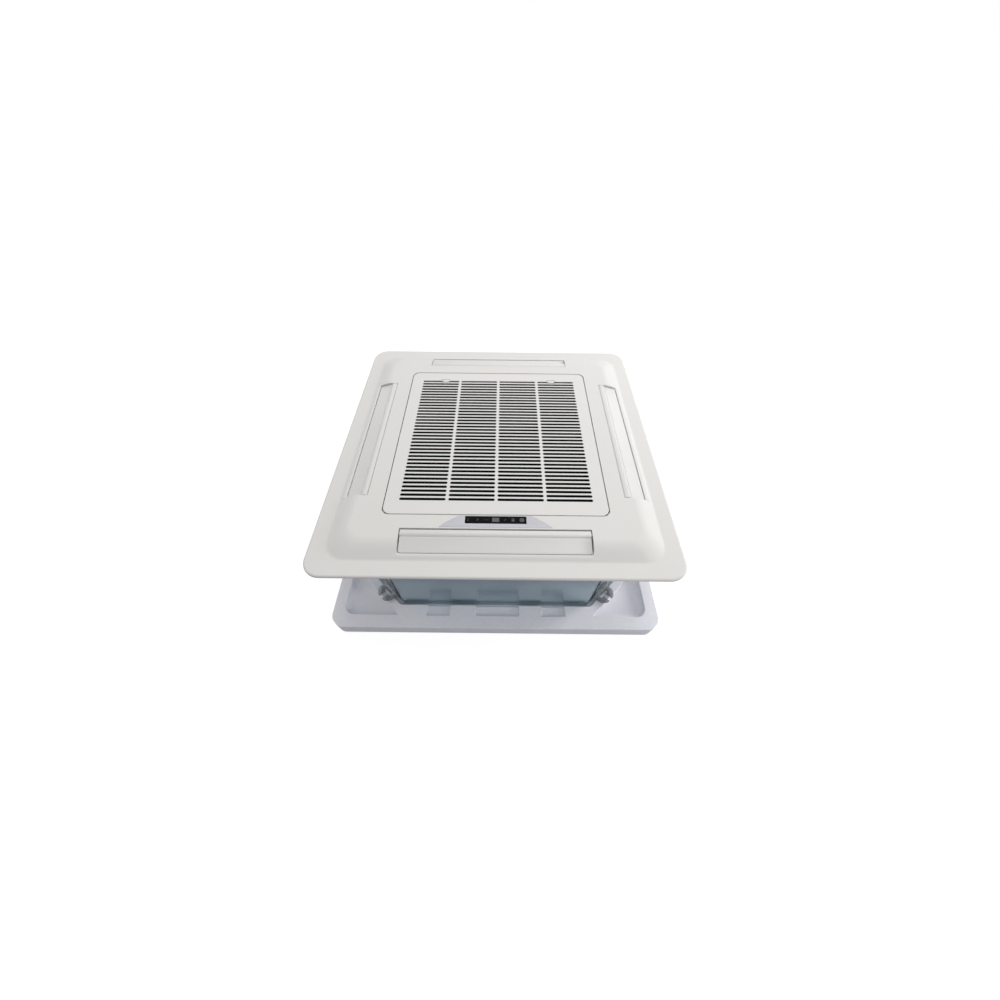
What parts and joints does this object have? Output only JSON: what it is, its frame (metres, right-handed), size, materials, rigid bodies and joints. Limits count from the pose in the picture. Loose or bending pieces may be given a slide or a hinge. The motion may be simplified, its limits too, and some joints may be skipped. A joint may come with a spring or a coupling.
{
  "type": "ceiling fan coil unit",
  "caption": "Square ceiling cassette fan coil unit with a domed panel, slotted intake grille and a louver on each side, standing panel up in its foam packing tray.",
  "frame": {"origin": "centre of the packing tray's underside", "axes": "+Z out of the panel (towards the room once it hangs), -Y towards the display side, +X to the right as seen from the display side"},
  "size_m": [1, 1, 0.3723],
  "materials": {
    "panel_plastic": "satin",
    "grille_plastic": "satin",
    "louver_plastic": "gloss",
    "crescent_plastic": "satin",
    "window_plastic": "gloss",
    "button_plastic": "satin",
    "foam": "matte",
    "liner_foam": "matte",
    "gasket_foam": "matte",
    "galvanised": "satin",
    "bracket_zinc": "satin",
    "coil_aluminium": "satin",
    "copper": "satin",
    "brass": "satin",
    "fan_plastic": "satin",
    "dark_plastic": "matte",
    "motor_steel": "satin",
    "shaft_steel": "polished",
    "filter_mesh": "matte",
    "hose_rubber": "matte"
  },
  "bodies": {
    "casing": {"top_plate": "galvanised", "side_sheet_right": "galvanised", "side_sheet_back": "galvanised", "side_sheet_left": "galvanised", "side_sheet_front": "galvanised", "corner_sheet_back_right": "galvanised", "corner_sheet_back_left": "galvanised", "corner_sheet_front_left": "galvanised", "corner_sheet_front_right": "galvanised", "hanger_bracket_back_right": "bracket_zinc", "hanger_bracket_back_left": "bracket_zinc", "hanger_bracket_front_left": "bracket_zinc", "hanger_bracket_front_right": "bracket_zinc", "foam_liner": "liner_foam", "drain_pan": "foam", "outlet_duct_right": "foam", "outlet_duct_back": "foam", "outlet_duct_left": "foam", "outlet_duct_front": "foam", "electric_box": "galvanised", "electric_box_cover": "galvanised", "bell_mouth": "dark_plastic", "fan_motor": "motor_steel", "heat_exchanger_coil": "coil_aluminium", "coil_end_plate_right": "galvanised", "coil_end_plate_back": "galvanised", "water_inlet_pipe": "copper", "water_inlet_fitting": "brass", "water_outlet_pipe": "copper", "water_outlet_fitting": "brass", "condensate_outlet": "foam", "drain_pump": "dark_plastic", "drain_hose": "hose_rubber", "float_switch": "dark_plastic", "panel_gasket": "gasket_foam", "panel_frame": "panel_plastic", "louver_motor_right": "motor_steel", "louver_motor_back": "motor_steel", "louver_motor_left": "motor_steel", "louver_motor_front": "motor_steel", "display_crescent": "crescent_plastic", "display_window": "window_plastic"},
    "tray": {"packing_tray": "foam"},
    "grille": {"intake_grille": "grille_plastic", "air_filter": "filter_mesh"},
    "left_latch": {"latch_left": "grille_plastic"},
    "right_latch": {"latch_right": "grille_plastic"},
    "right_louver": {"louver_right": "louver_plastic"},
    "back_louver": {"louver_back": "louver_plastic"},
    "left_louver": {"louver_left": "louver_plastic"},
    "front_louver": {"louver_front": "louver_plastic"},
    "fan": {"fan_impeller": "fan_plastic", "motor_shaft": "shaft_steel", "fan_nut": "shaft_steel"},
    "float": {"float_ring": "foam"},
    "button": {"display_button": "button_plastic"}
  },
  "joints": [
    {"name": "tray_removal", "type": "slide", "parent": "casing", "child": "tray", "axis": [0, 0, -1], "range_m": [0, 0.1]},
    {"name": "grille_hinge", "type": "hinge", "parent": "casing", "child": "grille", "pos_m": [0, -0.297, 0.368], "axis": [1, 0, 0], "range_deg": [0, 90]},
    {"name": "left_latch_slide", "type": "slide", "parent": "grille", "child": "left_latch", "axis": [0, -1, 0], "range_m": [0, 0.004]},
    {"name": "right_latch_slide", "type": "slide", "parent": "grille", "child": "right_latch", "axis": [0, -1, 0], "range_m": [0, 0.004]},
    {"name": "right_louver_swing", "type": "hinge", "parent": "casing", "child": "right_louver", "pos_m": [0.3595, 0, 0.363], "axis": [0, -1, 0], "range_deg": [0, 65]},
    {"name": "back_louver_swing", "type": "hinge", "parent": "casing", "child": "back_louver", "pos_m": [0, 0.3595, 0.363], "axis": [1, 0, 0], "range_deg": [0, 65]},
    {"name": "left_louver_swing", "type": "hinge", "parent": "casing", "child": "left_louver", "pos_m": [-0.3595, 0, 0.363], "axis": [0, 1, 0], "range_deg": [0, 65]},
    {"name": "front_louver_swing", "type": "hinge", "parent": "casing", "child": "front_louver", "pos_m": [0, -0.3595, 0.363], "axis": [-1, 0, 0], "range_deg": [0, 65]},
    {"name": "fan_spin", "type": "hinge", "parent": "casing", "child": "fan", "pos_m": [0, 0, 0.1], "axis": [0, 0, 1], "continuous": true},
    {"name": "float_rise", "type": "slide", "parent": "casing", "child": "float", "axis": [0, 0, 1], "range_m": [0, 0.01]},
    {"name": "button_press", "type": "slide", "parent": "casing", "child": "button", "axis": [0, 0, -1], "range_m": [0, 0.0008], "stiffness_N_per_m": 400}
  ]
}
